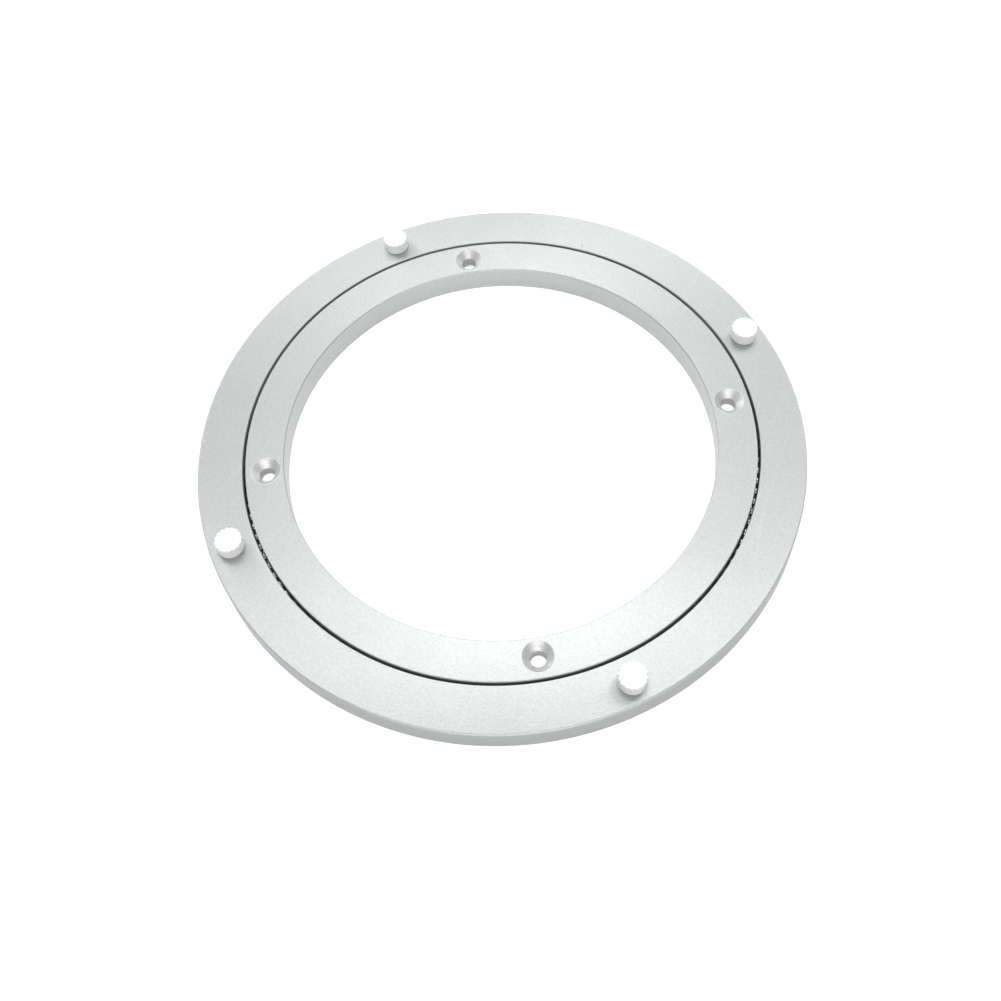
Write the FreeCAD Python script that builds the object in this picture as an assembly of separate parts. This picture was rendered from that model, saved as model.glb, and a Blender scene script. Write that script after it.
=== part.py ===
import FreeCAD, Part
import math
import os

# Turntable bearing for a rotating table top, 200 mm across.
# An outer ring turns round an inner ring that is screwed down. Steel balls run in arc grooves
# that face each other across a narrow slit, and comb-shaped cage segments keep them apart.
# Plug pads stand on the outer ring and carry the table top.
# Millimetres, +Z up along the turning axis, z = 0 on the surface that the bearing stands on,
# +X through one screw hole of the inner ring.

# Rings
outer_diameter = 200.0
bore_diameter = 143.0
slit_width = 0.9
inner_ring_height = 9.8
outer_ring_lift = 0.3
outer_edge_chamfer = 0.4
bore_edge_chamfer = 0.3
slit_edge_chamfer = 0.2

# Balls and their grooves
ball_circle_diameter = 169.6
ball_diameter = 3.0
ball_height = 5.0
groove_clearance = 0.1

# Ball cage
segment_count = 8
pockets_per_segment = 17
ball_pitch_angle = 2.62
segment_angle = 44.8
first_joint_azimuth = 31.8
cage_thickness = 0.6
pocket_clearance = 0.1
rim_thickness = 0.8
finger_reach = 1.0

# Screw holes of the inner ring
screw_count = 4
screw_circle_diameter = 155.0
screw_hole_diameter = 5.0
countersink_diameter = 9.8
foot_recess_diameter = 10.2
foot_recess_depth = 4.0

# Plug pads and their holes in the outer ring
pad_count = 4
pad_circle_diameter = 186.0
first_pad_azimuth = 16.0
pad_head_diameter = 8.8
pad_head_height = 4.5
pad_foot_diameter = 7.8
pad_foot_round = 0.5
pad_top_round = 0.4
pad_stem_diameter = 4.9
pad_stem_length = 5.5
pad_stem_taper = 0.7
serration_count = 16
serration_diameter = 0.84
serration_depth = 0.38
serration_lean = 8.0

# Hole through which the balls are loaded, and what closes it
loading_azimuth = first_pad_azimuth + 45.0
loading_hole_diameter = 3.5
plug_diameter = 3.42
plug_recess = 0.2
stake_diameter = 1.3
stake_depth = 0.35
stake_inset = 1.9

# Worked out from the above
outer_radius = outer_diameter / 2
bore_radius = bore_diameter / 2
ball_circle_radius = ball_circle_diameter / 2
ball_radius = ball_diameter / 2
groove_radius = ball_radius + groove_clearance
inner_ring_rim = ball_circle_radius - slit_width / 2
outer_ring_rim = ball_circle_radius + slit_width / 2
ring_top = inner_ring_height
axis = FreeCAD.Vector(0, 0, 1)
origin = FreeCAD.Vector(0, 0, 0)
overrun = 1.0


def polar(radius, azimuth, z):
    """Point at a radius, an azimuth in degrees and a height."""
    turn = math.radians(azimuth)
    return FreeCAD.Vector(radius * math.cos(turn), radius * math.sin(turn), z)


def around(shape, azimuth):
    """Copy of a shape made on +X, turned about the axis to its azimuth."""
    turned = shape.copy()
    turned.rotate(origin, axis, azimuth)
    return turned


def section(points, arcs=()):
    """Closed face in the XZ plane. An arc (index, middle) bows the side that starts at that point."""
    vectors = [FreeCAD.Vector(r, 0, z) for r, z in points]
    middles = {index: FreeCAD.Vector(middle[0], 0, middle[1]) for index, middle in arcs}
    edges = []
    for index, start in enumerate(vectors):
        end = vectors[(index + 1) % len(vectors)]
        if index in middles:
            edges.append(Part.Arc(start, middles[index], end).toShape())
        else:
            edges.append(Part.LineSegment(start, end).toShape())
    return Part.Face(Part.Wire(edges))


def turned_solid(face, angle=360.0):
    """Solid swept by a section face turned about the axis."""
    return face.revolve(origin, axis, angle)


def groove_half_height():
    """Half the height of the groove where it opens into the slit."""
    return math.sqrt(groove_radius**2 - (slit_width / 2) ** 2)


def screw_hole(circle_radius, low, high, countersunk_from):
    """Drilled hole with a 90 degree countersink, opening up or down, on +X."""
    radius = screw_hole_diameter / 2
    rim = countersink_diameter / 2
    drill = Part.makeCylinder(
        radius, high - low + 2 * overrun, FreeCAD.Vector(circle_radius, 0, low - overrun)
    )
    if countersunk_from == "top":
        tip, direction = high + overrun, FreeCAD.Vector(0, 0, -1)
    else:
        tip, direction = low - overrun, axis
    sink = Part.makeCone(
        rim + overrun, radius, rim - radius + overrun,
        FreeCAD.Vector(circle_radius, 0, tip), direction,
    )
    return drill.fuse(sink)


def make_inner_ring():
    """Ring that is screwed down, with the ball groove in its outer face."""
    half = groove_half_height()
    points = [
        (bore_radius + bore_edge_chamfer, 0),
        (inner_ring_rim - slit_edge_chamfer, 0),
        (inner_ring_rim, slit_edge_chamfer),
        (inner_ring_rim, ball_height - half),
        (inner_ring_rim, ball_height + half),
        (inner_ring_rim, ring_top - slit_edge_chamfer),
        (inner_ring_rim - slit_edge_chamfer, ring_top),
        (bore_radius + bore_edge_chamfer, ring_top),
        (bore_radius, ring_top - bore_edge_chamfer),
        (bore_radius, bore_edge_chamfer),
    ]
    groove = (3, (ball_circle_radius - groove_radius, ball_height))
    ring = turned_solid(section(points, [groove]))
    hole = screw_hole(screw_circle_diameter / 2, 0, ring_top, "top").fuse(foot_recess())
    holes = [around(hole, 360.0 / screw_count * i) for i in range(screw_count)]
    return ring.cut(holes)


def foot_recess():
    """Wide flat-bottomed recess under a screw hole, on +X. A foot like the pads fits into it."""
    low = FreeCAD.Vector(screw_circle_diameter / 2, 0, -overrun)
    return Part.makeCylinder(foot_recess_diameter / 2, foot_recess_depth + overrun, low)


def loading_drill(radius, start, end):
    """Radial cylinder on the ball plane at the loading azimuth."""
    return Part.makeCylinder(
        radius, end - start, polar(start, loading_azimuth, ball_height),
        polar(1, loading_azimuth, 0),
    )


def make_outer_ring():
    """Turning ring, with the ball groove in its inner face and the pads' holes."""
    half = groove_half_height()
    low = outer_ring_lift
    points = [
        (outer_radius - outer_edge_chamfer, low),
        (outer_radius, low + outer_edge_chamfer),
        (outer_radius, ring_top - outer_edge_chamfer),
        (outer_radius - outer_edge_chamfer, ring_top),
        (outer_ring_rim + slit_edge_chamfer, ring_top),
        (outer_ring_rim, ring_top - slit_edge_chamfer),
        (outer_ring_rim, ball_height + half),
        (outer_ring_rim, ball_height - half),
        (outer_ring_rim, low + slit_edge_chamfer),
        (outer_ring_rim + slit_edge_chamfer, low),
    ]
    groove = (6, (ball_circle_radius + groove_radius, ball_height))
    ring = turned_solid(section(points, [groove]))
    hole = screw_hole(pad_circle_diameter / 2, low, ring_top, "bottom")
    cutters = [
        around(hole, first_pad_azimuth + 360.0 / pad_count * i) for i in range(pad_count)
    ]
    cutters.append(
        loading_drill(loading_hole_diameter / 2, ball_circle_radius, outer_radius + overrun)
    )
    cutters.append(
        Part.makeCone(
            0, stake_diameter / 2, stake_depth,
            polar(outer_ring_rim + stake_inset, loading_azimuth, ring_top - stake_depth), axis,
        )
    )
    return ring.cut(cutters)


def make_loading_plug():
    """Pin that closes the loading hole. Its inner end carries the groove's form."""
    face = (ball_circle_radius + groove_radius, outer_radius - plug_recess)
    pin = loading_drill(plug_diameter / 2, ball_circle_radius, face[1])
    groove = Part.makeTorus(ball_circle_radius, groove_radius, FreeCAD.Vector(0, 0, ball_height))
    slit = Part.makeCylinder(outer_ring_rim, ring_top)
    return pin.cut([groove, slit])


def make_pad():
    """Push-in pad on +X: serrated head on the ring, stem in the ring's hole."""
    foot = pad_foot_diameter / 2
    head = pad_head_diameter / 2
    stem = pad_stem_diameter / 2
    top = pad_head_height
    corner = 1 - math.sqrt(0.5)
    points = [
        (0, -pad_stem_length),
        (stem - pad_stem_taper, -pad_stem_length),
        (stem, -pad_stem_length + 2 * pad_stem_taper),
        (stem, 0),
        (foot, 0),
        (head, pad_foot_round),
        (head, top - pad_top_round),
        (head - pad_top_round, top),
        (0, top),
    ]
    arcs = [
        (4, (head - (head - foot) * corner, pad_foot_round * corner)),
        (6, (head - pad_top_round * corner, top - pad_top_round * corner)),
    ]
    pad = turned_solid(section(points, arcs))
    pad = pad.cut([around(serration_cutter(), 360.0 / serration_count * i) for i in range(serration_count)])
    pad.translate(FreeCAD.Vector(pad_circle_diameter / 2, 0, ring_top))
    return pad


def serration_cutter():
    """Leaning round bar that cuts one notch into the head's edge and runs out down the flank."""
    radius = serration_diameter / 2
    lean = math.radians(serration_lean)
    centre = pad_head_diameter / 2 + radius - serration_depth
    high = FreeCAD.Vector(centre, 0, pad_head_height)
    down = FreeCAD.Vector(math.sin(lean), 0, -math.cos(lean))
    return Part.makeCylinder(radius, pad_head_height + 2 * overrun, high - down * overrun, down)


def ball_azimuths(segment):
    """Azimuths of the balls that one cage segment holds."""
    middle = first_joint_azimuth + 360.0 / segment_count * (segment + 0.5)
    first = middle - ball_pitch_angle * (pockets_per_segment - 1) / 2
    return [first + ball_pitch_angle * i for i in range(pockets_per_segment)]


def make_cage_segment(segment):
    """Comb strip in the slit: a rim under the balls and fingers that snap in between them."""
    inside = ball_circle_radius - cage_thickness / 2
    outside = ball_circle_radius + cage_thickness / 2
    pocket_radius = ball_radius + pocket_clearance
    low = ball_height - pocket_radius - rim_thickness
    high = ball_height + finger_reach
    face = section([(inside, low), (outside, low), (outside, high), (inside, high)])
    strip = turned_solid(face, segment_angle)
    middle = first_joint_azimuth + 360.0 / segment_count * (segment + 0.5)
    strip = around(strip, middle - segment_angle / 2)
    pocket = Part.makeCylinder(
        pocket_radius, cage_thickness + 2 * overrun,
        FreeCAD.Vector(inside - overrun, 0, ball_height), FreeCAD.Vector(1, 0, 0),
    )
    return strip.cut([around(pocket, azimuth) for azimuth in ball_azimuths(segment)])


def make_balls(segment):
    """The separate balls that one cage segment holds."""
    balls = [
        Part.makeSphere(ball_radius, polar(ball_circle_radius, azimuth, ball_height))
        for azimuth in ball_azimuths(segment)
    ]
    return Part.makeCompound(balls)


def all_pieces():
    """Every piece of the bearing by name."""
    pieces = {
        "inner_ring": make_inner_ring(),
        "outer_ring": make_outer_ring(),
        "loading_plug": make_loading_plug(),
    }
    pad = make_pad()
    for i in range(pad_count):
        pieces[f"pad_{i + 1}"] = around(pad, first_pad_azimuth + 360.0 / pad_count * i)
    for i in range(segment_count):
        pieces[f"cage_segment_{i + 1}"] = make_cage_segment(i)
        pieces[f"balls_{i + 1}"] = make_balls(i)
    return pieces


def main():
    """Write each piece to its own file and say its volume."""
    os.makedirs("parts", exist_ok=True)
    for name, shape in all_pieces().items():
        shape.exportStep(f"parts/{name}.step")
        print(f"{name}: {len(shape.Solids)} solids, {shape.Volume:.1f} mm3, valid {shape.isValid()}")


main()
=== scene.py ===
import logging
import math
from collections.abc import Callable
from dataclasses import dataclass, field
from enum import Enum

import bmesh
import bpy
import numpy as np
from mathutils import Matrix, Vector


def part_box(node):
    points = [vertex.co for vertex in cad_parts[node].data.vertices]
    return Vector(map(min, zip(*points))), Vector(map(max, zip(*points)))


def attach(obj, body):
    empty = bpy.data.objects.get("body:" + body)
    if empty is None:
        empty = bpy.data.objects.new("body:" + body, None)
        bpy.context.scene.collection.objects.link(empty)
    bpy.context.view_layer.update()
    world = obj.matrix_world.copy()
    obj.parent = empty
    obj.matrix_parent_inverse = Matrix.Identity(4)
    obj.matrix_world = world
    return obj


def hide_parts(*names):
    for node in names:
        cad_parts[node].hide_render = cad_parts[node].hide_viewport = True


# Looks of a turntable bearing: two aluminium rings with a row of caged balls in the slit between
# them, serrated plug pads on the outer ring, and the plug that closes the balls' loading hole.
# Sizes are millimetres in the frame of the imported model: +Z up along the turning axis, z = 0 on
# the floor, +X through a screw hole of the inner ring. Meshes are written in metres.

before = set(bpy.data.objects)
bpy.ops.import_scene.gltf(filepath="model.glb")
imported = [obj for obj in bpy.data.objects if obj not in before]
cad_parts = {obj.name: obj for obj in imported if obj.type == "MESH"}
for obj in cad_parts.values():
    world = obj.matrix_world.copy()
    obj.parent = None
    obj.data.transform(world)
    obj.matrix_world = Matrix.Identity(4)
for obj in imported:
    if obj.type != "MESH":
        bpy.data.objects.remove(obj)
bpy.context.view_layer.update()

log = logging.getLogger("bearing")
MM = 0.001
TURN = 2.0 * math.pi
MERGE_DISTANCE = 1e-4
SLACK = 1e-6
CORNER_REACH = 0.06
CORNER_GUARD = 0.05
CORNER_STEPS = 3
RUN_OUT = 1.0
SHARP_ANGLE = 40.0
SECTOR_SHARES = (0.0, 0.3, 0.65, 1.0)
MARKS = ("edge", "cut", "race")

Colour = tuple[float, float, float, float]
Shape = Callable[[np.ndarray, np.ndarray], np.ndarray]
Material = bpy.types.Material
Node = bpy.types.Node
Socket = bpy.types.NodeSocket


class Side(Enum):
    """Which way a ring's grooved wall faces: inwards to the axis, or outwards from it."""

    INWARD = 1
    OUTWARD = -1


# Surfaces


def grid_quads(rows: int, columns: int, closed: bool = False) -> np.ndarray:
    """Quads of a grid of vertices stored row by row.

    Args:
        rows: Number of rows of vertices.
        columns: Number of vertices in a row.
        closed: Whether each row's last vertex joins its first.

    Returns:
        An array of vertex indices, four to a quad.
    """
    across = columns if closed else columns - 1
    row, column = np.meshgrid(np.arange(rows - 1), np.arange(across), indexing="ij")
    after = (column + 1) % columns
    quads = [row * columns + column, row * columns + after,
             (row + 1) * columns + after, (row + 1) * columns + column]
    return np.stack(quads, axis=-1).reshape(-1, 4)


def polar_points(radius: np.ndarray, azimuth: np.ndarray, height: np.ndarray) -> np.ndarray:
    """Points from cylindrical measures: (radius cos azimuth, radius sin azimuth, height)."""
    point = np.broadcast_arrays(radius * np.cos(azimuth), radius * np.sin(azimuth), height)
    return np.stack(point, axis=-1)


def turned_about_axis(points: np.ndarray, azimuth: float) -> np.ndarray:
    """Points turned about the Z axis: x' = x cos - y sin, y' = x sin + y cos.

    Args:
        points: Points, an array whose last axis is (x, y, z).
        azimuth: The turn, in radians.

    Returns:
        The turned points.
    """
    x, y, z = np.moveaxis(points, -1, 0)
    cos, sin = math.cos(azimuth), math.sin(azimuth)
    return np.stack([x * cos - y * sin, x * sin + y * cos, z], axis=-1)


def rounded_profile(corners: list[tuple[float, float, float]], steps: int = CORNER_STEPS) -> np.ndarray:
    """Open profile with rounded corners.

    Each corner c with a reach above 0 becomes the arc (1-t)^2 a + 2t(1-t) c + t^2 b, where a and b
    lie on the two sides at that reach from it. A guard point stands just outside each end of the
    arc, so that the flats beside it stay flat in smooth shading.

    Args:
        corners: Radius, height and reach of each corner. The first and last are ends, which often
            stand RUN_OUT beyond their neighbours only to give them a direction.
        steps: Number of spans in each arc.

    Returns:
        The profile's points, an array of (n, 2).
    """
    places = np.array(corners, float)[:, :2]
    t = np.linspace(0.0, 1.0, steps + 1)[:, None]
    parts = [places[:1]]
    for before, corner, after, reach in zip(places, places[1:], places[2:], np.array(corners)[1:-1, 2]):
        if reach == 0.0:
            parts.append(corner[None, :])
            continue
        back = (before - corner) / np.linalg.norm(before - corner)
        ahead = (after - corner) / np.linalg.norm(after - corner)
        start, end = corner + back * reach, corner + ahead * reach
        arc = (1 - t) ** 2 * start + 2 * t * (1 - t) * corner + t ** 2 * end
        parts += [start[None, :] + back * CORNER_GUARD, arc, end[None, :] + ahead * CORNER_GUARD]
    return np.vstack(parts + [places[-1:]])


def subdivided(profile: np.ndarray, longest: float) -> np.ndarray:
    """Profile whose spans are cut into equal parts.

    Args:
        profile: Points of the coarse profile, an array of (n, 2).
        longest: No part is longer than this.

    Returns:
        Points of the fine profile.
    """
    lengths = np.linalg.norm(np.diff(profile, axis=0), axis=1)
    counts = np.maximum(np.ceil(lengths / longest), 1).astype(int)
    place = np.concatenate([i + np.arange(n) / n for i, n in enumerate(counts)] + [[len(counts)]])
    index = np.arange(len(profile))
    return np.stack([np.interp(place, index, column) for column in profile.T], axis=1)


@dataclass(frozen=True)
class Opening:
    """A hole's edge in a sheet, in the middle of a sector of the sheet.

    Args:
        azimuth: Azimuth of the hole's axis, in radians.
        steps: Half the width of its sector, in azimuth steps.
    """

    azimuth: float
    steps: int

    def border(self, step: float, rows: np.ndarray) -> np.ndarray:
        """Border of the sector, once round: first row, right side, last row, left side.

        Args:
            step: The sheet's azimuth step.
            rows: Values of the sheet's second measure.

        Returns:
            Points (azimuth, row), an array of (n, 2).
        """
        azimuths = self.azimuth + step * np.arange(-self.steps, self.steps + 1)
        first, last = (np.full(len(azimuths) - 1, row) for row in (rows[0], rows[-1]))
        left, right = (np.full(len(rows) - 1, side) for side in (azimuths[0], azimuths[-1]))
        sides = [(azimuths[:-1], first), (right, rows[:-1]), (azimuths[:0:-1], last), (left, rows[:0:-1])]
        return np.concatenate([np.stack(side, axis=-1) for side in sides])

    def curve(self, border: np.ndarray) -> np.ndarray:
        """Points of the hole's edge, one for each point of the border."""
        raise NotImplementedError


@dataclass(frozen=True)
class FaceOpening(Opening):
    """A round hole with an upright axis where it meets a flat face.

    Args:
        distance: Distance of its axis from the turning axis.
        radius: Radius of its edge in the face.
    """

    distance: float
    radius: float

    def angles(self, border: np.ndarray) -> np.ndarray:
        """Angles, about the hole's axis, at which the points of the sector's border are seen.

        Args:
            border: Points (azimuth, radius).

        Returns:
            Their angles, in radians.
        """
        turn = border[:, 0] - self.azimuth
        across = border[:, 1] * np.cos(turn) - self.distance
        return np.arctan2(border[:, 1] * np.sin(turn), across)

    def curve(self, border: np.ndarray) -> np.ndarray:
        """Points of the edge at those angles: axis + radius (cos t, sin t).

        Args:
            border: Points (azimuth, radius) of the sector's border.

        Returns:
            Points (azimuth, radius) of the edge.
        """
        angle = self.angles(border)
        x, y = self.distance + self.radius * np.cos(angle), self.radius * np.sin(angle)
        return np.stack([self.azimuth + np.arctan2(y, x), np.hypot(x, y)], axis=-1)


@dataclass(frozen=True)
class WallOpening(Opening):
    """A round radial hole where it meets a wall that is turned about the axis.

    Args:
        height: Height of its axis.
        radius: Radius of the hole.
        level: Up to this far above and below the axis the border's points lie level with the
            curve's, so that the groove's edges stay sharp.
        wall: Radius of the wall at each height.
    """

    height: float
    radius: float
    level: float
    wall: Callable[[np.ndarray], np.ndarray]

    def angles(self, border: np.ndarray) -> np.ndarray:
        """Angles of the curve's points, about the hole's axis, from level to the right.

        On the sector's two sides they are arcsin(height / radius), at the middle of its top and
        bottom a quarter turn, and in between they grow evenly along the border.

        Args:
            border: Points (azimuth, height) of the sector's border.

        Returns:
            Their angles, in radians.
        """
        across, up = border[:, 0] - self.azimuth, border[:, 1] - self.height
        half = np.abs(across).max()
        beside = (np.abs(across) > half - SLACK) & (np.abs(up) < self.level + SLACK)
        slope = np.arcsin(np.clip(up / self.radius, -1.0, 1.0))
        angle = np.where(across > 0, slope, math.pi - slope)
        middle = np.abs(across) < SLACK
        angle = np.where(middle, np.where(up > 0, TURN / 4, -TURN / 4), angle)
        known = np.flatnonzero(beside | middle)
        index = np.arange(len(border))
        index = np.where(index < known[0], index + len(border), index)
        places = np.append(known, known[0] + len(border))
        return np.interp(index, places, np.append(angle[known], angle[known[0]] + TURN))

    def curve(self, border: np.ndarray) -> np.ndarray:
        """Points of the edge, where the hole's cylinder meets the wall: sin azimuth = r cos t / wall.

        Args:
            border: Points (azimuth, height) of the sector's border.

        Returns:
            Points (azimuth, height) of the edge.
        """
        angle = self.angles(border)
        height = self.height + self.radius * np.sin(angle)
        turn = np.arcsin(self.radius * np.cos(angle) / self.wall(height))
        return np.stack([self.azimuth + turn, height], axis=-1)


@dataclass
class Surface:
    """A mesh under construction from patches that share their edges, in millimetres.

    Three marks go with every vertex: edge, 1 along a corner that handling burnishes and that gets a
    painted highlight, cut, 1 where the metal was machined after blasting, and race, 1 where the dark
    film colour is painted: a dull grease film with painted shade in the balls' slit and groove, and
    painted shade alone, at a lower share, deep in the holes and in the stake mark.
    """

    name: str
    points: list[np.ndarray] = field(default_factory=list)
    marks: list[np.ndarray] = field(default_factory=list)
    quads: list[np.ndarray] = field(default_factory=list)
    count: int = 0

    def patch(self, grid: np.ndarray, closed: bool = False, **marks: object) -> None:
        """Add a grid of points.

        Args:
            grid: Points, an array of (rows, columns, 3).
            closed: Whether each row's last point joins its first.
            **marks: Marks that aren't 0, each for the whole grid or for each row.
        """
        rows, columns = grid.shape[:2]
        levels = [np.reshape(marks.get(name, 0.0), (-1, 1)) for name in MARKS]
        layers = [np.broadcast_to(level, (rows, columns)) for level in levels]
        self.points.append(grid.reshape(-1, 3))
        self.marks.append(np.stack(layers, axis=-1).reshape(-1, len(MARKS)))
        self.quads.append(grid_quads(rows, columns, closed) + self.count)
        self.count += rows * columns

    def turned(self, profile: np.ndarray, azimuths: np.ndarray, **marks: object) -> None:
        """Add a profile of (radius, height) carried once round the turning axis."""
        self.patch(polar_points(profile[:, :1], azimuths[None, :], profile[:, 1:]), True, **marks)

    def sheet(self, shape: Shape, azimuths: np.ndarray, rows: np.ndarray,
              openings: list[Opening], **marks: float) -> None:
        """Add a band round the axis, shape(azimuth, row), with its openings left out.

        Between the openings' sectors it is a plain grid. Within a sector it is
        shape((1 - s) curve(t) + s border(t)), from the opening's curve to the sector's border.

        Args:
            shape: Gives points from azimuths and rows.
            azimuths: Evenly spaced azimuths, once round.
            rows: Values of the second measure.
            openings: The openings, each centred on one of the azimuths.
            **marks: Marks of the band that aren't 0.
        """
        if not openings:
            self.patch(shape(azimuths[None, :], rows[:, None]), True, **marks)
            return
        step = azimuths[1] - azimuths[0]
        share = np.array(SECTOR_SHARES)[:, None, None]
        ordered = sorted(openings, key=lambda opening: opening.azimuth)
        for opening, following in zip(ordered, ordered[1:] + ordered[:1]):
            border = opening.border(step, rows)
            blend = (1 - share) * opening.curve(border) + share * border
            self.patch(shape(blend[..., 0], blend[..., 1]), True, **marks)
            apart = round(((following.azimuth - opening.azimuth) % TURN or TURN) / step)
            stretch = opening.azimuth + step * np.arange(opening.steps, apart - following.steps + 1)
            self.patch(shape(stretch[None, :], rows[:, None]), False, **marks)

    def finish(self, sharp_angle: float = SHARP_ANGLE) -> bpy.types.Object:
        """Merge the patches' shared edges and make the object.

        Args:
            sharp_angle: Edges that turn by more degrees than this stay sharp.

        Returns:
            The object, linked to the scene, with its faces pointing outwards.
        """
        points, marks = np.vstack(self.points), np.vstack(self.marks)
        cells = np.round(points / MERGE_DISTANCE).astype(np.int64)
        _, first, index = np.unique(cells, axis=0, return_index=True, return_inverse=True)
        index = index.reshape(-1)
        merged = np.zeros((len(first), len(MARKS)))
        np.maximum.at(merged, index, marks)
        mesh = bpy.data.meshes.new(self.name)
        mesh.from_pydata(points[first] * MM, [], proper_faces(index[np.vstack(self.quads)]))
        for column, label in enumerate(MARKS):
            attribute = mesh.attributes.new(label, "FLOAT", "POINT")
            attribute.data.foreach_set("value", merged[:, column].astype(np.float32))
        return smooth_object(mesh, sharp_angle)


def proper_faces(quads: np.ndarray) -> list[list[int]]:
    """Faces of a merged mesh. Where two neighbouring corners were merged, a quad is a triangle.

    Args:
        quads: Vertex indices, four to a quad.

    Returns:
        Vertex indices of each face that has three corners or more.
    """
    same = quads == np.roll(quads, 1, axis=1)
    whole = quads[~same.any(axis=1)]
    thin = same.sum(axis=1) == 1
    triangles = quads[thin][~same[thin]].reshape(-1, 3)
    return whole.tolist() + triangles.tolist()


def smooth_object(mesh: bpy.types.Mesh, sharp_angle: float) -> bpy.types.Object:
    """Smoothly shaded object for a mesh, with outward faces and its sharp edges marked.

    Args:
        mesh: The finished mesh.
        sharp_angle: Edges that turn by more degrees than this stay sharp.

    Returns:
        The object, linked to the scene.
    """
    work = bmesh.new()
    work.from_mesh(mesh)
    bmesh.ops.recalc_face_normals(work, faces=work.faces)
    work.to_mesh(mesh)
    work.free()
    mesh.shade_smooth()
    mesh.set_sharp_from_angle(angle=math.radians(sharp_angle))
    piece = bpy.data.objects.new(mesh.name, mesh)
    bpy.context.scene.collection.objects.link(piece)
    return piece


# Shader nodes


class Graph:
    """A node tree with short calls for adding and linking nodes."""

    def __init__(self, tree: bpy.types.NodeTree) -> None:
        """Wrap an empty node tree."""
        self.tree = tree

    def add(self, kind: str, settings: dict | None = None, **inputs: object) -> Node:
        """Add a node.

        Args:
            kind: The node's type name after "ShaderNode".
            settings: Properties of the node itself.
            **inputs: Values for its sockets, or outputs to link to them. A socket is named with "_"
                for a space, or by its number, as i0.

        Returns:
            The node.
        """
        node = self.tree.nodes.new("ShaderNode" + kind)
        for key, value in (settings or {}).items():
            setattr(node, key, value)
        for key, value in inputs.items():
            numbered = key[0] == "i" and key[1:].isdigit()
            self.feed(node.inputs[int(key[1:]) if numbered else key.replace("_", " ")], value)
        return node

    def feed(self, socket: Socket, value: object) -> None:
        """Link an output to a socket, or set the socket's own value.

        Args:
            socket: The input socket.
            value: An output, a number or a colour.
        """
        if isinstance(value, Socket):
            self.tree.links.new(value, socket)
        else:
            socket.default_value = value

    def maths(self, operation: str, first: object, second: object = 0.0, clamp: bool = False) -> Socket:
        """Output of a Math node."""
        settings = {"operation": operation, "use_clamp": clamp}
        return self.add("Math", settings, i0=first, i1=second).outputs[0]

    def total(self, *terms: tuple[Socket, float], clamp: bool = False) -> Socket:
        """Sum of outputs, each times its own weight.

        Args:
            *terms: Two or more pairs of an output and its weight.
            clamp: Whether the sum is held between 0 and 1.

        Returns:
            The sum's output.
        """
        first, *others = (
            value if weight == 1.0 else self.maths("MULTIPLY", value, weight) for value, weight in terms
        )
        for part in others[:-1]:
            first = self.maths("ADD", first, part)
        return self.maths("ADD", first, others[-1], clamp)

    def span(self, value: object, low: float, high: float,
             to_low: float = 0.0, to_high: float = 1.0) -> Socket:
        """Value carried smoothly from one range to another and held at its ends."""
        settings = {"interpolation_type": "SMOOTHSTEP"}
        return self.add("MapRange", settings, i0=value, i1=low, i2=high, i3=to_low, i4=to_high).outputs[0]

    def drifting(self, drift: Socket, low: float, high: float) -> Socket:
        """Number that follows a slow noise from a low to a high value."""
        return self.span(drift, 0.3, 0.7, low, high)

    def blend(self, share: object, first: object, second: object) -> Socket:
        """Colour between two colours."""
        return self.add("Mix", {"data_type": "RGBA"}, i0=share, i6=first, i7=second).outputs[2]

    def level(self, share: object, first: object, second: object) -> Socket:
        """Number between two numbers."""
        return self.add("Mix", {"data_type": "FLOAT"}, i0=share, i2=first, i3=second).outputs[0]

    def mark(self, name: str) -> Socket:
        """One of the mesh's own marks, as a number."""
        return self.add("Attribute", {"attribute_name": name}).outputs["Fac"]

    def group(self, name: str, **inputs: object) -> Node:
        """Place a shader node group with its own values.

        Args:
            name: The group's name.
            **inputs: Values or outputs for its sockets, named with "_" for a space.

        Returns:
            The group's node.
        """
        node = self.tree.nodes.new("ShaderNodeGroup")
        node.node_tree = bpy.data.node_groups[name]
        for key, value in inputs.items():
            self.feed(node.inputs[key.replace("_", " ")], value)
        return node


class NodeGroup:
    """A shader node group under construction, with named inputs and outputs."""

    def __init__(self, name: str, inputs: dict[str, float | None], outputs: tuple[str, ...]) -> None:
        """Start the group.

        Args:
            name: The group's name.
            inputs: Default of each input, or None for a vector.
            outputs: Names of its outputs, all of them numbers.
        """
        tree = bpy.data.node_groups.new(name, "ShaderNodeTree")
        for label, default in inputs.items():
            kind = "NodeSocketVector" if default is None else "NodeSocketFloat"
            socket = tree.interface.new_socket(label, in_out="INPUT", socket_type=kind)
            if default is not None:
                socket.default_value = default
        for label in outputs:
            tree.interface.new_socket(label, in_out="OUTPUT", socket_type="NodeSocketFloat")
        self.graph = Graph(tree)
        self.inputs = tree.nodes.new("NodeGroupInput").outputs
        self.outputs = tree.nodes.new("NodeGroupOutput").inputs

    def put_out(self, **outputs: Socket) -> None:
        """Link the group's outputs, named with "_" for a space."""
        for label, value in outputs.items():
            self.graph.feed(self.outputs[label.replace("_", " ")], value)


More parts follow.
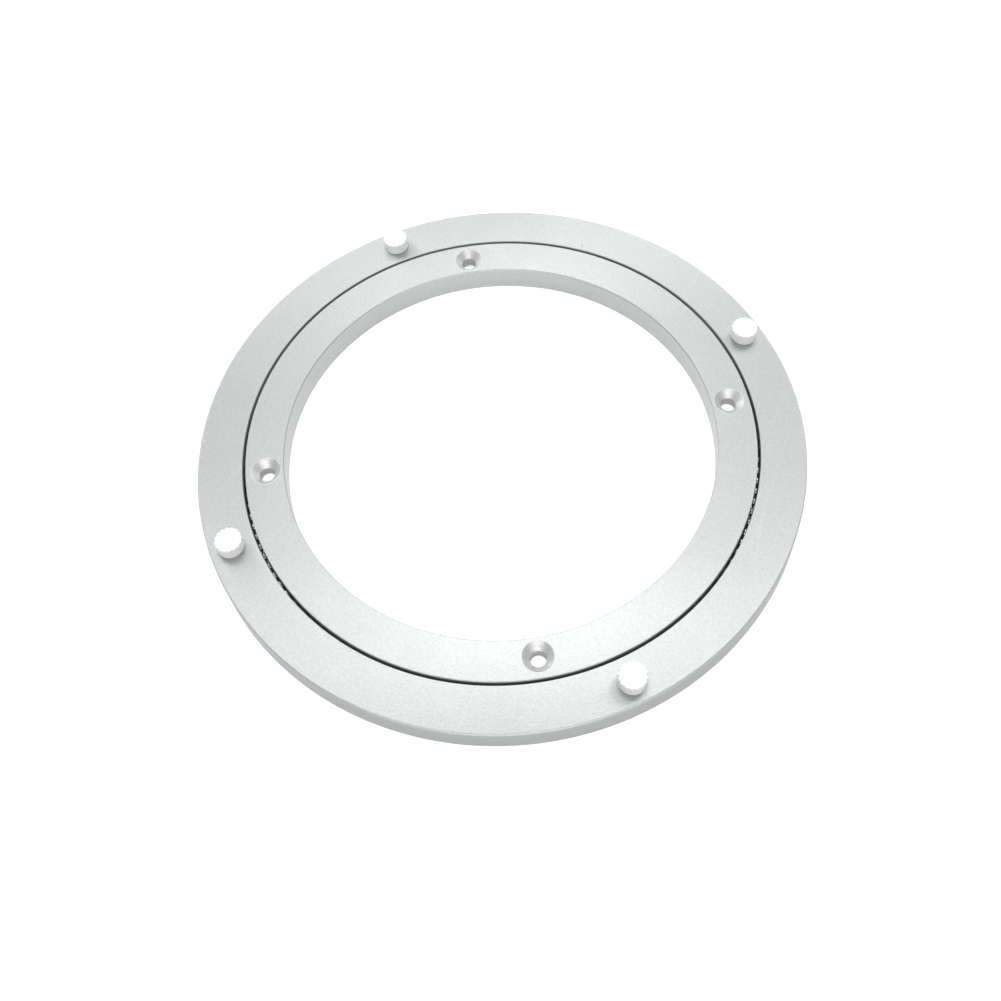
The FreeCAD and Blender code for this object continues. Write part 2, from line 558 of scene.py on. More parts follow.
def build_grain_group() -> None:
    """Group "grain": a surface of fine grains, with its height, clusters of grains that catch the
    light together as specks, deeper single pits, and a slow drift."""
    inputs = {"Vector": None, "Grain size": 0.2, "Speck size": 0.9, "Drift size": 20.0}
    group = NodeGroup("grain", inputs, ("Height", "Specks", "Pits", "Drift"))
    graph, place = group.graph, group.inputs["Vector"]
    fine, middle, slow = (graph.maths("DIVIDE", 1.0 / MM, group.inputs[size]) for size in list(inputs)[1:])
    grains = graph.add("TexNoise", Vector=place, Scale=fine, Detail=2.0, Roughness=0.6)
    specks = graph.add("TexNoise", Vector=place, Scale=middle, Detail=2.0, Roughness=0.7)
    sparse = graph.add("TexNoise", Vector=place, Scale=graph.maths("MULTIPLY", fine, 0.45), Detail=1.0)
    drift = graph.add("TexNoise", Vector=place, Scale=slow, Detail=3.0, Roughness=0.5)
    specks = graph.span(specks.outputs[0], 0.3, 0.7)
    pits = graph.span(sparse.outputs[0], 0.62, 0.72)
    group.put_out(Height=grains.outputs[0], Specks=specks, Pits=pits, Drift=drift.outputs[0])


def build_scratch_group() -> None:
    """Group "scratches": thin sparse lines. A noise drawn out along one way is cut at its middle
    value into narrow lines, and a second, slower noise keeps only a few of them."""
    group = NodeGroup("scratches", {"Vector": None, "Turn": 0.0, "Spacing": 4.0, "Width": 0.02}, ("Mask",))
    graph = group.graph
    turn = graph.add("CombineXYZ", Z=group.inputs["Turn"])
    place = graph.add("Mapping", Vector=group.inputs["Vector"], Rotation=turn.outputs[0])
    drawn = graph.add("Mapping", Vector=place.outputs[0], Scale=(0.12, 1.0, 1.0))
    scale = graph.maths("DIVIDE", 1.0 / MM, group.inputs["Spacing"])
    lines = graph.add("TexNoise", Vector=drawn.outputs[0], Scale=scale, Detail=1.0, Roughness=0.4,
                      Distortion=0.3)
    offset = graph.maths("ABSOLUTE", graph.maths("SUBTRACT", lines.outputs[0], 0.5))
    line = graph.add("MapRange", i0=offset, i1=group.inputs["Width"], i2=0.0, i3=0.0, i4=1.0)
    slower = graph.maths("MULTIPLY", scale, 0.45)
    patch = graph.add("TexNoise", Vector=drawn.outputs[0], Scale=slower, Detail=0.0)
    kept = graph.span(patch.outputs[0], 0.6, 0.68)
    group.put_out(Mask=graph.maths("MULTIPLY", line.outputs[0], kept))


def build_tool_mark_group() -> None:
    """Group "tool marks": fine rings left by a lathe or drill, a noise of the distance from the
    tool's axis and the place along it, which is the same all the way round."""
    group = NodeGroup("tool marks", {"Vector": None, "Pitch": 0.1}, ("Height", "Bands"))
    graph = group.graph
    parts = graph.add("SeparateXYZ", Vector=group.inputs["Vector"])
    flat = graph.add("CombineXYZ", X=parts.outputs[0], Y=parts.outputs[1])
    away = graph.add("VectorMath", {"operation": "LENGTH"}, i0=flat.outputs[0]).outputs["Value"]
    ring = graph.add("CombineXYZ", X=away, Y=0.0, Z=parts.outputs[2])
    fine = graph.maths("DIVIDE", 1.0 / MM, group.inputs["Pitch"])
    marks = graph.add("TexNoise", Vector=ring.outputs[0], Scale=fine, Detail=2.0, Roughness=0.7)
    slower = graph.maths("MULTIPLY", fine, 0.12)
    bands = graph.add("TexNoise", Vector=ring.outputs[0], Scale=slower, Detail=1.0)
    group.put_out(Height=marks.outputs[0], Bands=bands.outputs[0])


class Finish:
    """Base of all finishes: starts a material and feeds its shader."""

    name: str

    def start(self) -> tuple[Material, Graph, Node, Socket]:
        """Make the empty material, under the finish's own name.

        Returns:
            The material, its graph, its Principled shader and the object coordinates.
        """
        material = bpy.data.materials.new(self.name)
        material.use_nodes = True
        material.node_tree.nodes.clear()
        graph = Graph(material.node_tree)
        shader = graph.add("BsdfPrincipled")
        graph.add("OutputMaterial", Surface=shader.outputs[0])
        place = graph.add("TexCoord").outputs["Object"]
        return material, graph, shader, place

    def dress(self, graph: Graph, shader: Node, tone: Socket, rough: Socket, height: Socket,
              depth: float, strength: float) -> None:
        """Feed a shader its colour, its roughness and its fine relief.

        Args:
            graph: The material's graph.
            shader: The material's shader.
            tone: The base colour.
            rough: The roughness.
            height: The relief's height.
            depth: What a height of 1 stands for, in millimetres.
            strength: The relief's strength, up to 1.
        """
        bump = graph.add("Bump", Height=height, Distance=depth * MM, Strength=strength)
        graph.feed(shader.inputs["Base Color"], tone)
        graph.feed(shader.inputs["Roughness"], rough)
        graph.feed(shader.inputs["Normal"], bump.outputs[0])

    def constants(self, shader: Node, **values: object) -> None:
        """Set numbers and colours that are the same all over on the shader's own sockets."""
        for key, value in values.items():
            shader.inputs[key.replace("_", " ")].default_value = value


@dataclass(frozen=True)
class BlastedAluminium(Finish):
    """Turned, finely sand-blasted and clear anodised aluminium. The screw holes were cut afterwards,
    with a crumbly bright finish whose grooves run all ways. A dark film colour is painted in deep
    places: a dull grease film with painted shade in the groove, and painted shade in the holes, in
    the stake mark and on the upright walls.

    Args:
        hole_circle: Radius of the circle that the upright holes stand on.
        hole_azimuth: Azimuth of one of the four.
        wall_shade: Share of the dark film colour painted as shade on the upright walls.
        scratch_sets: Turn and spacing of each of the two sets of scratches.
    """

    name: str
    hole_circle: float
    hole_azimuth: float
    wall_shade: float
    light: Colour = (0.553, 0.563, 0.560, 1.0)
    dark: Colour = (0.43, 0.450, 0.452, 1.0)
    bright: Colour = (0.92, 0.92, 0.915, 1.0)
    grey: Colour = (0.66, 0.67, 0.67, 1.0)
    # Dark film colour: a dull grease film in the groove, and painted shade in deep places and on walls.
    film_and_shade: Colour = (0.288, 0.298, 0.296, 1.0)
    roughness: float = 0.42
    roughness_drift: float = 0.015
    bare_roughness: float = 0.52
    film_roughness: float = 0.5
    anisotropy: float = 0.7
    grain_size: float = 0.24
    speck_size: float = 0.9
    drift_size: float = 16.0
    lathe_pitch: float = 0.35
    drill_pitch: float = 0.09
    crumb_size: float = 0.4
    scratch_sets: tuple[tuple[float, float], tuple[float, float]] = ((0.6, 5.0), (2.1, 8.0))
    scratch_shine: float = 0.05
    # Painted highlight along the burnished edges, towards the bright colour.
    edge_highlight_and_burnish: float = 0.12
    edge_wear: float = 0.5
    relief: float = 0.014
    relief_strength: float = 0.6

    def hole_place(self, graph: Graph, place: Socket) -> Socket:
        """Object coordinates carried to the nearest of the four holes, with its axis as Z.

        The part repeats every quarter turn. Turned so that a hole stands on +X, the larger of |x|
        and |y| points along the hole's radius, and the smaller is the distance across it.

        Args:
            graph: The material's graph.
            place: The object coordinates.

        Returns:
            The carried coordinates.
        """
        turned = graph.add("Mapping", {"vector_type": "TEXTURE"}, Vector=place,
                           Rotation=(0.0, 0.0, self.hole_azimuth))
        parts = graph.add("SeparateXYZ", Vector=turned.outputs[0])
        x, y = (graph.maths("ABSOLUTE", parts.outputs[axis]) for axis in (0, 1))
        along = graph.maths("SUBTRACT", graph.maths("MAXIMUM", x, y), self.hole_circle * MM)
        across = graph.maths("MINIMUM", x, y)
        return graph.add("CombineXYZ", X=along, Y=across, Z=parts.outputs[2]).outputs[0]

    def scratches(self, graph: Graph, place: Socket) -> Socket:
        """Mask of the scratches, one set for each way that they run."""
        sets = (graph.group("scratches", Vector=place, Turn=turn, Spacing=spacing).outputs[0]
                for turn, spacing in self.scratch_sets)
        return graph.maths("ADD", *sets, clamp=True)

    def steepness(self, graph: Graph) -> Socket:
        """Mask of the upright walls, from how little their normals point up or down."""
        normal = graph.add("SeparateXYZ", Vector=graph.add("TexCoord").outputs["Normal"])
        return graph.span(graph.maths("ABSOLUTE", normal.outputs[2]), 0.6, 0.2)

    def blasted_tone(self, graph: Graph, grain: Node, scratches: Socket, steep: Socket) -> Socket:
        """Colour of the blasted metal: light and dark grains, bright scratches, and painted shade in the
        dark film colour on the upright walls.

        Args:
            graph: The material's graph.
            grain: The grain group on the object coordinates.
            scratches: Mask of the scratches.
            steep: Mask of the upright walls, where the shade is painted.

        Returns:
            The colour.
        """
        part = grain.outputs
        share = graph.total((part["Drift"], 0.35), (part["Specks"], 0.45), (part["Height"], 0.3),
                            (part["Pits"], -0.35), clamp=True)
        tone = graph.blend(share, self.dark, self.light)
        tone = graph.blend(graph.maths("MULTIPLY", scratches, self.scratch_shine), tone, self.bright)
        # Painted shade: the upright walls are darkened towards the dark film colour.
        return graph.blend(graph.maths("MULTIPLY", steep, self.wall_shade), tone, self.film_and_shade)

    def bare_tone(self, graph: Graph, drill: Node, crumbs: Node) -> Socket:
        """Colour of the drilled holes: grey and bright, by the drill's bands and the crumbs.

        Args:
            graph: The material's graph.
            drill: The tool mark group on the holes' own coordinates.
            crumbs: The noise of the crumbly finish.

        Returns:
            The colour.
        """
        crumbly = graph.span(crumbs.outputs[0], 0.35, 0.65)
        share = graph.total((drill.outputs["Bands"], 0.4), (crumbly, 0.6))
        return graph.blend(share, self.grey, self.bright)

    def tangent(self, graph: Graph, steep: Socket, cut: Socket, crumbs: Node) -> Socket:
        """Way that the metal's marks run: round the axis on the flats, upright on the walls, and in
        the holes all ways, noise - 1/2.

        Args:
            graph: The material's graph.
            steep: Mask of the upright walls.
            cut: Mask of the holes.
            crumbs: The noise that jumbles the holes' grooves.

        Returns:
            The direction.
        """
        circling = graph.add("Tangent", {"direction_type": "RADIAL", "axis": "Z"}).outputs[0]
        upright = (0.0, 0.0, 1.0, 1.0)
        jumbled = graph.add("VectorMath", {"operation": "SUBTRACT"}, i0=crumbs.outputs[1], i1=(0.5, 0.5, 0.5))
        return graph.blend(cut, graph.blend(steep, circling, upright), jumbled.outputs[0])

    def material(self) -> Material:
        """Build the material.

        Returns:
            The material.
        """
        material, graph, shader, place = self.start()
        edge, cut, race = (graph.mark(name) for name in MARKS)
        grain = graph.group("grain", Vector=place, Grain_size=self.grain_size,
                            Speck_size=self.speck_size, Drift_size=self.drift_size)
        lathe = graph.group("tool marks", Vector=place, Pitch=self.lathe_pitch)
        drill = graph.group("tool marks", Vector=self.hole_place(graph, place), Pitch=self.drill_pitch)
        crumbs = graph.add("TexNoise", Vector=place, Scale=1.0 / (self.crumb_size * MM), Detail=2.0,
                           Roughness=0.7)
        scratches = self.scratches(graph, place)
        steep = self.steepness(graph)

        blasted = self.blasted_tone(graph, grain, scratches, steep)
        tone = graph.blend(cut, blasted, self.bare_tone(graph, drill, crumbs))
        # Painted highlight on the burnished edges.
        tone = graph.blend(graph.maths("MULTIPLY", edge, self.edge_highlight_and_burnish), tone, self.bright)
        # The race mark paints the dark film colour: grease film with painted shade in the groove, painted
        # shade in holes and stake mark.
        tone = graph.blend(race, tone, self.film_and_shade)

        rough = graph.drifting(grain.outputs["Drift"], self.roughness - self.roughness_drift,
                               self.roughness + self.roughness_drift)
        bared = graph.maths("MAXIMUM", cut, graph.maths("MULTIPLY", edge, self.edge_wear))
        rough = graph.level(bared, rough, self.bare_roughness)
        rough = graph.level(race, rough, self.film_roughness)

        part = grain.outputs
        height = graph.total((part["Height"], 1.0), (scratches, -0.15), (part["Pits"], -1.0),
                             (part["Specks"], 0.8), (lathe.outputs["Height"], 0.4))
        chatter = graph.total((drill.outputs["Height"], 1.0), (crumbs.outputs[0], 2.5))
        height = graph.level(cut, height, chatter)

        self.dress(graph, shader, tone, rough, height, self.relief, self.relief_strength)
        graph.feed(shader.inputs["Tangent"], self.tangent(graph, steep, cut, crumbs))
        graph.feed(shader.inputs["Metallic"], graph.maths("SUBTRACT", 1.0, race))
        self.constants(shader, Anisotropic=self.anisotropy)
        return material


@dataclass(frozen=True)
class TurnedAluminium(Finish):
    """Bare turned aluminium, with fine rings round the plug's own axis.

    Args:
        azimuth: Azimuth of the plug's axis.
        height: Height of the plug's axis.
    """

    azimuth: float
    height: float
    name: str = "turned_aluminium"
    colour: Colour = (0.60, 0.61, 0.615, 1.0)
    bright: Colour = (0.74, 0.745, 0.745, 1.0)
    roughness: float = 0.26
    lathe_pitch: float = 0.08
    relief: float = 0.012
    relief_strength: float = 0.6

    def material(self) -> Material:
        """Build the material.

        Returns:
            The material.
        """
        material, graph, shader, place = self.start()
        axis = graph.add("Mapping", {"vector_type": "TEXTURE"}, Vector=place,
                         Location=(0.0, 0.0, self.height * MM), Rotation=(0.0, 0.0, self.azimuth))
        upright = graph.add("Mapping", Vector=axis.outputs[0], Rotation=(0.0, -TURN / 4, 0.0))
        lathe = graph.group("tool marks", Vector=upright.outputs[0], Pitch=self.lathe_pitch)
        grain = graph.group("grain", Vector=place, Grain_size=0.3, Drift_size=3.0)
        tone = graph.blend(lathe.outputs["Bands"], self.colour, self.bright)
        # Painted highlight along the plug's worn edge band.
        tone = graph.blend(graph.mark("edge"), tone, self.bright)
        rough = graph.drifting(grain.outputs["Drift"], self.roughness - 0.04, self.roughness + 0.08)
        height = graph.total((lathe.outputs["Height"], 1.0), (grain.outputs["Height"], 0.3))
        self.dress(graph, shader, tone, rough, height, self.relief, self.relief_strength)
        self.constants(shader, Metallic=1.0)
        return material


@dataclass(frozen=True)
class MouldedPlastic(Finish):
    """Moulded plastic with the fine grain of its mould, slow flow clouds and corners rubbed smooth."""

    name: str
    colour: Colour
    shade: Colour
    roughness: float = 0.45
    rubbed: float = 0.14
    translucence: float = 0.0
    light_reach: float = 0.6
    relief: float = 0.01
    relief_strength: float = 0.5

    def material(self) -> Material:
        """Build the material.

        Returns:
            The material.
        """
        material, graph, shader, place = self.start()
        grain = graph.group("grain", Vector=place, Grain_size=0.22, Drift_size=4.0)
        scratches = graph.group("scratches", Vector=place, Turn=1.1, Spacing=1.6, Width=0.015)
        share = graph.total((grain.outputs["Drift"], 1.4), (grain.outputs["Pits"], -0.4), clamp=True)
        tone = graph.blend(share, self.shade, self.colour)
        rough = graph.drifting(grain.outputs["Drift"], self.roughness - 0.05, self.roughness + 0.07)
        rough = graph.level(graph.mark("edge"), rough, self.roughness - self.rubbed)
        height = graph.total((grain.outputs["Height"], 1.0), (scratches.outputs[0], -0.7))
        self.dress(graph, shader, tone, rough, height, self.relief, self.relief_strength)
        self.constants(shader, Subsurface_Weight=self.translucence, Subsurface_Radius=(1.0, 0.95, 0.9),
                       Subsurface_Scale=self.light_reach * MM, IOR=1.5)
        return material


@dataclass(frozen=True)
class PolishedSteel(Finish):
    """Ground and polished ball steel, with the faint tracks that running leaves."""

    name: str = "polished_steel"
    colour: Colour = (0.93, 0.935, 0.94, 1.0)
    shade: Colour = (0.82, 0.83, 0.84, 1.0)
    roughness: float = 0.14
    relief: float = 0.002
    relief_strength: float = 0.3

    def material(self) -> Material:
        """Build the material.

        Returns:
            The material.
        """
        material, graph, shader, place = self.start()
        grain = graph.group("grain", Vector=place, Grain_size=0.5, Drift_size=2.0)
        tracks = graph.group("scratches", Vector=place, Turn=0.3, Spacing=0.5, Width=0.03)
        height = grain.outputs["Height"]
        tone = graph.blend(grain.outputs["Drift"], self.shade, self.colour)
        rough = graph.span(height, 0.35, 0.7, self.roughness, self.roughness + 0.07)
        rough = graph.total((rough, 1.0), (tracks.outputs[0], 0.12))
        self.dress(graph, shader, tone, rough, height, self.relief, self.relief_strength)
        self.constants(shader, Metallic=1.0)
        return material


# Camera and studio


@dataclass(frozen=True)
class PhotoCamera:
    """The photograph's camera, aimed from a point on a sphere round the middle of the rings' top.

    The distance is in units of the top's radius, and azimuth and elevation, in degrees, say where
    the camera stands. Pitch, yaw and roll then turn it about its own axes. The photograph is cut
    off-centre from a larger picture, which a small shift of the lens stands for.
    """

    top_radius: float = 99.6
    distance: float = 4.0129
    azimuth: float = -93.943
    elevation: float = 57.722
    pitch: float = 3.545
    yaw: float = -0.379
    roll: float = 5.288
    focal_pixels: float = 1205.6
    shift_pixels: float = 140.0
    image_pixels: float = 1001.0
    sensor: float = 36.0
    near_clip: float = 0.01
    far_clip: float = 20.0

    def build(self, target: Vector) -> None:
        """Make the camera and set it as the scene's.

        Args:
            target: The middle of the rings' top, in metres.
        """
        azimuth, elevation = math.radians(self.azimuth), math.radians(self.elevation)
        level = math.cos(elevation)
        away = Vector((math.cos(azimuth) * level, math.sin(azimuth) * level, math.sin(elevation)))
        right = away.cross(Vector((0.0, 0.0, -1.0))).normalized()
        basis = Matrix((right, away.cross(right), away)).transposed()
        for degrees, axis in ((self.pitch, "X"), (self.yaw, "Y"), (-self.roll, "Z")):
            basis = basis @ Matrix.Rotation(math.radians(degrees), 3, axis)
        data = bpy.data.cameras.new("photo_camera")
        data.sensor_width = self.sensor
        data.lens = self.focal_pixels * self.sensor / self.image_pixels
        data.shift_y = -self.shift_pixels / self.image_pixels
        data.clip_start, data.clip_end = self.near_clip, self.far_clip
        camera = bpy.data.objects.new("photo_camera", data)
        place = Matrix.Translation(target + away * self.distance * self.top_radius * MM)
        camera.matrix_world = place @ basis.to_4x4()
        bpy.context.scene.collection.objects.link(camera)
        bpy.context.scene.camera = camera


@dataclass(frozen=True)
class Softbox:
    """A soft rectangular lamp that faces the bearing's middle, placed in metres."""

    name: str
    place: tuple[float, float, float]
    size: tuple[float, float]
    watts: float

    def build(self) -> None:
        """Make the lamp."""
        data = bpy.data.lights.new(self.name, "AREA")
        data.shape = "RECTANGLE"
        data.size, data.size_y = self.size
        data.energy = self.watts
        lamp = bpy.data.objects.new(self.name, data)
        lamp.location = self.place
        lamp.rotation_euler = (-Vector(self.place)).to_track_quat("-Z", "Y").to_euler()
        bpy.context.scene.collection.objects.link(lamp)


@dataclass(frozen=True)
class Studio:
    """White floor, even white surroundings, soft lamps behind and above, and a wide one in front.

    The floor, in millimetres, is flat round the bearing and rises towards its far rim, so that a low
    view still has it for background. It lies a hair below the bearing's foot.
    """

    floor_flat: float = 3000.0
    floor_radius: float = 6000.0
    floor_rim: float = 750.0
    floor_drop: float = 0.05
    floor_rows: int = 8
    floor_steps: int = 96
    floor_colour: Colour = (0.5, 0.5, 0.5, 1.0)
    floor_glow: float = 0.8
    world_colour: Colour = (1.0, 1.0, 1.0, 1.0)
    world_strength: float = 0.4
    lamps: tuple[Softbox, ...] = (
        Softbox("back_left", (-0.807, 0.806, 0.975), (0.42, 0.8), 4.9),
        Softbox("back_right", (0.910, 0.687, 0.975), (0.42, 0.8), 6.6),
        Softbox("low_left", (-0.781, 1.187, 0.480), (0.42, 0.6), 2.9),
        Softbox("above", (0.044, 0.632, 1.359), (0.8, 0.6), 4.7),
        Softbox("behind", (0.073, 1.058, 1.061), (0.8, 0.42), 1.2),
        Softbox("front", (-0.089, -1.284, 0.771), (1.6, 0.7), 9.0),
    )

    def build(self) -> None:
        """Make the floor, the surroundings and the lamps."""
        self.build_floor()
        self.build_world()
        for lamp in self.lamps:
            lamp.build()

    def build_floor(self) -> None:
        """Make the floor, which is seen from above only.

        Its profile is flat and then rises as the square of the way to the rim. Its faces point
        outwards, as on a bowl, so their backs are the side that is seen.
        """
        way = np.linspace(0.0, 1.0, self.floor_rows + 1)
        radius = self.floor_flat + way * (self.floor_radius - self.floor_flat)
        profile = np.stack([radius, self.floor_rim * way ** 2 - self.floor_drop], axis=-1)
        profile = np.vstack([[0.0, -self.floor_drop], profile])
        surface = Surface("floor")
        surface.turned(profile, np.linspace(0.0, TURN, self.floor_steps, endpoint=False))
        floor = surface.finish()
        floor.data.materials.append(self.floor_material())

    def floor_material(self) -> Material:
        """White that glows a little for the camera and in reflections, and is clear from below.

        Returns:
            The material.
        """
        material = bpy.data.materials.new("floor_white")
        material.use_nodes = True
        material.node_tree.nodes.clear()
        graph = Graph(material.node_tree)
        plain = graph.add("BsdfDiffuse", Color=self.floor_colour)
        path = graph.add("LightPath")
        seen = graph.total((path.outputs["Is Camera Ray"], 1.0), (path.outputs["Is Glossy Ray"], 1.0),
                           (path.outputs["Is Transmission Ray"], 1.0), clamp=True)
        glow = graph.add("Emission", Strength=graph.maths("MULTIPLY", seen, self.floor_glow))
        both = graph.add("AddShader", i0=plain.outputs[0], i1=glow.outputs[0])
        above = graph.add("NewGeometry").outputs["Backfacing"]
        clear = graph.add("BsdfTransparent")
        shown = graph.add("MixShader", i0=above, i1=clear.outputs[0], i2=both.outputs[0])
        graph.add("OutputMaterial", Surface=shown.outputs[0])
        return material

    def build_world(self) -> None:
        """Make the even surroundings."""
        world = bpy.data.worlds.new("surroundings")
        world.use_nodes = True
        background = world.node_tree.nodes["Background"]
        background.inputs["Color"].default_value = self.world_colour
        background.inputs["Strength"].default_value = self.world_strength
        bpy.context.scene.world = world


# The bearing


@dataclass(frozen=True)
class Piece:
    """What a finished mesh stands for: its body, the record's material slot, which is not used, and its CAD
    node.
    """

    body: str
    slot: str
    node: str

    def place(self, surface: Surface, material: Material, sharp_angle: float = SHARP_ANGLE) -> None:
        """Finish a surface as this piece and hang it on its body.

        Args:
            surface: The piece's surface.
            material: Its finish.
            sharp_angle: Edges that turn by more degrees than this stay sharp.
        """
        piece = surface.finish(sharp_angle)
        piece.data.materials.append(material)
        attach(piece, self.body)
        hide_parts(self.node)
        log.info("%s: %d faces, rides on %s", surface.name, len(piece.data.polygons), self.body)


@dataclass(frozen=True)
class BallRace:
    """The balls' path: their circle, and the groove that each ring has for them."""

    circle: float = 84.8
    height: float = 5.0
    ball_radius: float = 1.5
    groove_radius: float = 1.6
    half_slit: float = 0.45
    groove_spans: int = 16

    def wall(self, side: Side, height: np.ndarray) -> np.ndarray:
        """Radius of a ring's wall at each height.

        It stands off the balls' circle by sqrt(groove^2 - dz^2) within the groove, and by half the
        slit above and below it.
        """
        within = self.groove_radius ** 2 - (height - self.height) ** 2
        return self.circle + side.value * np.sqrt(np.maximum(within, self.half_slit ** 2))

    def mouth(self) -> float:
        """Half the height of the groove's mouth."""
        return math.sqrt(self.groove_radius ** 2 - self.half_slit ** 2)

    def groove_heights(self) -> np.ndarray:
        """Heights of the groove's rows, evenly spaced along its arc."""
        reach = math.asin(self.mouth() / self.groove_radius)
        return self.height + self.groove_radius * np.sin(np.linspace(-reach, reach, self.groove_spans + 1))


@dataclass(frozen=True)
class LoadingHole:
    """The radial hole that the balls go in by, the plug in it, and the stake mark over the plug."""

    azimuth: float = 61.0
    radius: float = 1.75
    plug_radius: float = 1.71
    recess: float = 0.2
    stake_distance: float = 87.15
    stake_radius: float = 0.65
    stake_depth: float = 0.35
    # Share of painted shade, in the dark film colour, in the stake mark's dimple.
    stake_shade: float = 0.4
    tunnel_spans: int = 6


@dataclass
class FlatRing:
    """A flat turned ring with four upright holes and the balls' groove in one wall.

    Args:
        node: Its CAD node, and the name of its mesh.
        body: The body that it rides on.
        inner: Radius of its inner wall.
        outer: Radius of its outer wall.
        inner_chamfer: Chamfer at both ends of the inner wall.
        outer_chamfer: Chamfer at both ends of the outer wall.
        low: Height of its underside.
        high: Height of its top.
        race: The balls' path.
        side: Which way its grooved wall faces.
        hole_distance: Distance of its holes from the axis.
        hole_azimuth: Azimuth of one hole, in degrees.
        sunk_from_top: Whether the holes' countersinks open upwards. Such holes have a wide recess
            from below.
        loading: The loading hole in its walls, if it has one.
    """

    node: str
    body: str
    inner: float
    outer: float
    inner_chamfer: float
    outer_chamfer: float
    low: float
    high: float
    race: BallRace
    side: Side
    hole_distance: float
    hole_azimuth: float
    sunk_from_top: bool
    loading: LoadingHole | None = None
    hole_count: int = 4
    hole_radius: float = 2.5
    sink_radius: float = 4.9
    recess_radius: float = 5.1
    recess_depth: float = 4.0
    # The upright holes' rounded rims are burnished and get a painted highlight.
    hole_rim_highlight_and_wear: float = 0.6
    # Share of painted shade, in the dark film colour, in the narrow part of each upright hole.
    hole_shade: float = 0.5
    azimuth_steps: int = 480
    face_rows: int = 10
    plain_wall_spans: int = 3
    hole_sector: int = 7
    small_sector: int = 3

    def __post_init__(self) -> None:
        """Work out the azimuths, which start at a hole so that every hole is on one, and list each
        wall's radius, way outwards and chamfer."""
        steps = np.arange(self.azimuth_steps) * TURN / self.azimuth_steps
        self.azimuths = math.radians(self.hole_azimuth) + steps
        self.step = self.azimuths[1] - self.azimuths[0]
        self.surface = Surface(f"blasted_{self.node}")
        self.margin = CORNER_REACH + CORNER_GUARD
        self.walls = ((self.inner, -1, self.inner_chamfer), (self.outer, 1, self.outer_chamfer))

    def face_limits(self) -> tuple[float, float]:
        """Radii between which the top and the underside are plain."""
        return self.inner + self.inner_chamfer + self.margin, self.outer - self.outer_chamfer - self.margin

    def wall_rows(self, chamfer: float) -> np.ndarray:
        """Heights of a wall's rows between its chamfers, with the groove's rows in the middle.

        Args:
            chamfer: Chamfer at both ends of the wall.

        Returns:
            The heights, from the lowest up.
        """
        groove = self.race.groove_heights()
        low, high = self.low + chamfer + self.margin, self.high - chamfer - self.margin
        below = np.linspace(low, groove[0], self.plain_wall_spans + 1)
        above = np.linspace(groove[-1], high, self.plain_wall_spans + 1)
        return np.concatenate([below[:-1], groove, above[1:]])

    def wall_radius(self, radius: float, height: np.ndarray) -> np.ndarray:
        """Radius at each height of one of the two walls: grooved, or plain."""
        grooved = self.inner if self.side is Side.INWARD else self.outer
        return self.race.wall(self.side, height) if radius == grooved else np.full_like(height, radius)

    def hole_azimuths(self) -> np.ndarray:
        """Azimuths of the upright holes."""
        return math.radians(self.hole_azimuth) + TURN / self.hole_count * np.arange(self.hole_count)

    def hole_profile(self) -> np.ndarray:
        """Profile of an upright hole, from the top face down to the underside.

        Returns:
            Distances from the hole's axis and heights, an array of (n, 2).
        """
        wide, narrow, recess = self.sink_radius, self.hole_radius, self.recess_radius
        high, low, depth = self.high, self.low, self.sink_radius - self.hole_radius
        if self.sunk_from_top:
            ceiling = low + self.recess_depth
            bends = [(wide, high), (narrow, high - depth), (narrow, ceiling), (recess, ceiling),
                     (recess, low)]
        else:
            bends = [(narrow, high), (narrow, low + depth), (wide, low)]
        first, last = (bends[0][0] + RUN_OUT, high, 0), (bends[-1][0] + RUN_OUT, low, 0)
        corners = [first, *((*bend, CORNER_REACH) for bend in bends), last]
        return rounded_profile(corners)[1:-1]

    def stake_profile(self) -> np.ndarray:
        """Profile of the stake mark, from the top face to the cone's tip.

        Returns:
            Distances from its axis and heights, an array of (n, 2).
        """
        mark = self.loading
        corners = [(mark.stake_radius + RUN_OUT, self.high, 0), (mark.stake_radius, self.high, CORNER_REACH),
                   (0.0, self.high - mark.stake_depth, 0)]
        return rounded_profile(corners)[1:]

    def face_openings(self, top: bool) -> list[FaceOpening]:
        """Openings of the top or of the underside.

        Args:
            top: Whether they are the top's.

        Returns:
            Those of the upright holes, and in the top that of the stake mark.
        """
        radius = self.hole_profile()[0 if top else -1, 0]
        openings = [FaceOpening(azimuth, self.hole_sector, self.hole_distance, radius)
                    for azimuth in self.hole_azimuths()]
        if top and self.loading:
            azimuth = math.radians(self.loading.azimuth)
            edge = self.stake_profile()[0, 0]
            openings.append(FaceOpening(azimuth, self.small_sector, self.loading.stake_distance, edge))
        return openings

    def build_faces(self) -> None:
        """Add the top and the underside, flat sheets P(azimuth, radius), and what sinks into them."""
        rows = np.linspace(*self.face_limits(), self.face_rows + 1)
        for height, top in ((self.high, True), (self.low, False)):
            openings = self.face_openings(top)
            flat = lambda azimuth, radius, height=height: polar_points(radius, azimuth, height)
            self.surface.sheet(flat, self.azimuths, rows, openings)
            for opening in openings if top else []:
                self.build_hole(opening, rows)

    def build_hole(self, opening: FaceOpening, rows: np.ndarray) -> None:
        """Add the wall that goes down from an opening in the top.

        P(k, t) = axis + (distance_k cos t, distance_k sin t, height_k) along the hole's profile. Its
        first corner is burnished and gets a painted highlight, and painted shade in the dark film colour
        lies in the narrow part of a hole and in the stake mark.

        Args:
            opening: The opening.
            rows: The face's radii, which settle the angles.
        """
        angle = opening.angles(opening.border(self.step, rows))[None, :]
